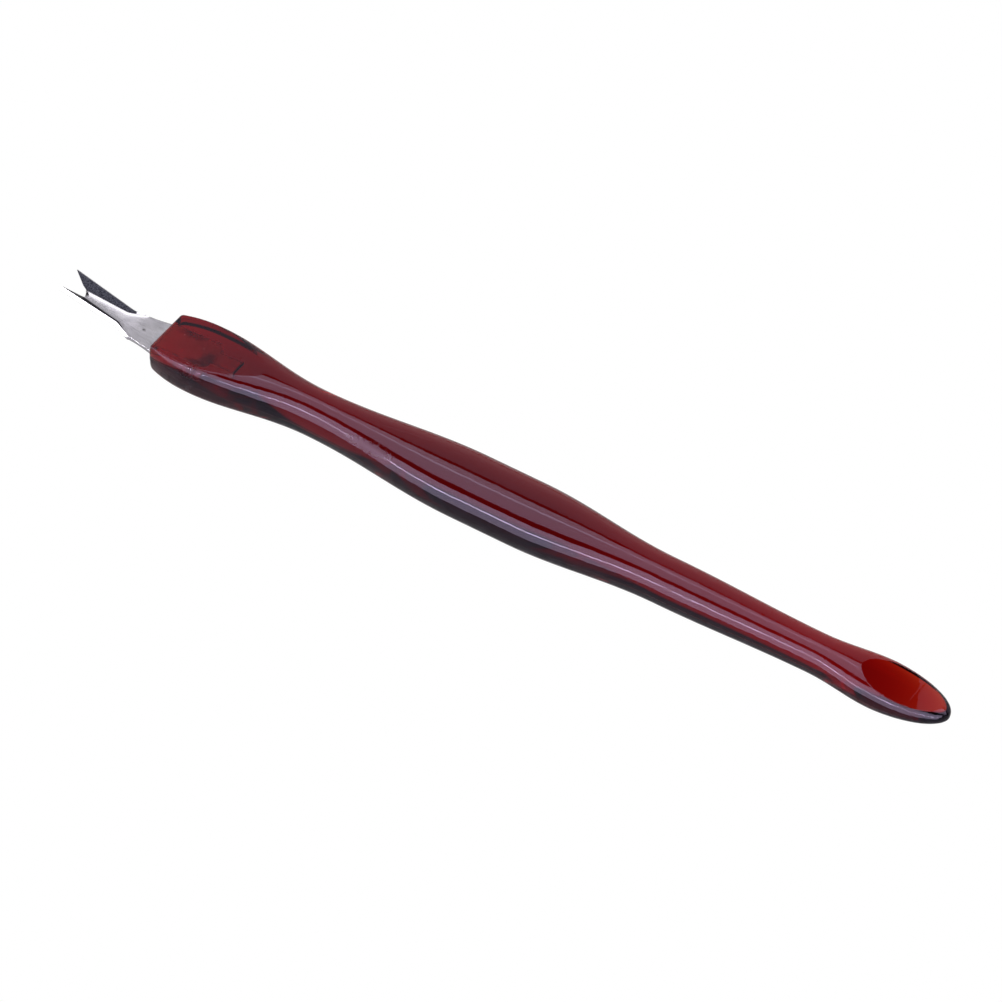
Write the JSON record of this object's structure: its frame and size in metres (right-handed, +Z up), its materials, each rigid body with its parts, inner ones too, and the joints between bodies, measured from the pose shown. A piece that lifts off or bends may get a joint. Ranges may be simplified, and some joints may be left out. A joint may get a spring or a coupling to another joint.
{
  "type": "cuticle trimmer and pusher",
  "caption": "Slim hand tool with a clear red contoured handle, a formed steel fork blade for trimming cuticles at one end and a scooped oval pusher at the other.",
  "frame": {"origin": "under the middle of the tool's length, on the surface it lies on", "axes": "+X along the tool from the fork blade's prong tips to the pusher's rounded end, +Y across it, +Z up from the surface, towards the side that the prongs rise to and the scooped face looks to"},
  "size_m": [0.1238, 0.0094, 0.0059],
  "materials": {
    "clear_red_plastic": "polished translucent dark red moulded plastic with fine handling marks",
    "stainless_sheet": "polished stainless sheet with fine stamping and grinding marks",
    "cured_adhesive": "clear amber cured adhesive"
  },
  "bodies": {
    "root": {"handle": "clear_red_plastic", "fork_blade": "stainless_sheet", "tang_adhesive": "cured_adhesive"}
  },
  "joints": []
}
